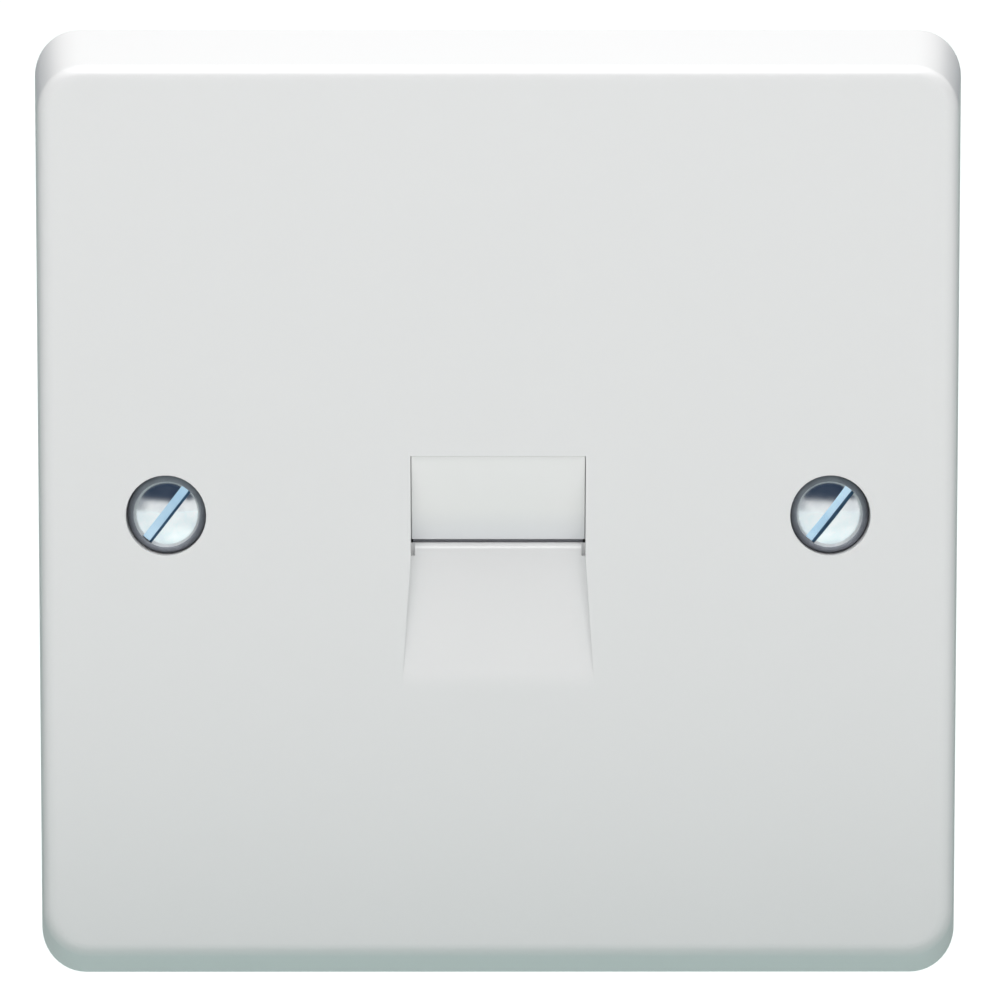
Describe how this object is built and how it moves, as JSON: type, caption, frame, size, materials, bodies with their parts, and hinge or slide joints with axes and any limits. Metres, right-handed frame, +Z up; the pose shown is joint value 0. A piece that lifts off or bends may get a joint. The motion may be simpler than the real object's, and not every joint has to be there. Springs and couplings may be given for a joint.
{
  "type": "telephone wall socket",
  "caption": "White telephone wall socket on a square one-gang plate, with a sprung shutter behind a scooped window and push-in wire terminals on the back",
  "frame": {"origin": "centre of the wall plane, midway between the two fixing screws", "axes": "+Z up, +X to the right as seen from the front, +Y into the wall"},
  "size_m": [0.085, 0.0302, 0.0876],
  "materials": {
    "white_moulding": "smooth glossy white urea moulding",
    "shutter_white": "smooth white moulding, slightly less glossy",
    "zinc_steel": "bright zinc-plated steel",
    "bright_steel": "drawn bright steel",
    "spring_steel": "stainless spring wire",
    "housing_plastic": "fine matt moulding",
    "comb_plastic": "black glass-filled moulding",
    "contact_gold": "gold-flashed spring wire",
    "board_laminate": "solder-resist on glass laminate",
    "terminal_plastic": "pale grey moulding",
    "tinned_bronze": "tin-plated bronze"
  },
  "bodies": {
    "socket": {"faceplate": "white_moulding", "fixing_screws": "zinc_steel", "shutter_pin": "bright_steel", "shutter_spring": "spring_steel", "jack_housing": "housing_plastic", "contact_carrier": "comb_plastic", "circuit_board": "board_laminate", "board_screws": "zinc_steel", "idc_block_left": "terminal_plastic", "idc_block_right": "terminal_plastic", "contact_1": "contact_gold", "contact_2": "contact_gold", "contact_3": "contact_gold", "contact_4": "contact_gold", "contact_5": "contact_gold", "contact_6": "contact_gold", "idc_blade_1": "tinned_bronze", "idc_blade_2": "tinned_bronze", "idc_blade_3": "tinned_bronze", "idc_blade_4": "tinned_bronze", "idc_blade_5": "tinned_bronze", "idc_blade_6": "tinned_bronze"},
    "flap": {"shutter": "shutter_white"}
  },
  "joints": [
    {"name": "shutter_hinge", "type": "hinge", "parent": "socket", "child": "flap", "pos_m": [0, -0.004, -0.00455], "axis": [-1, 0, 0], "range_deg": [0, 108], "stiffness_Nm_per_rad": 0.0006, "springref_deg": -85.94, "deforming": ["shutter_spring"]}
  ]
}
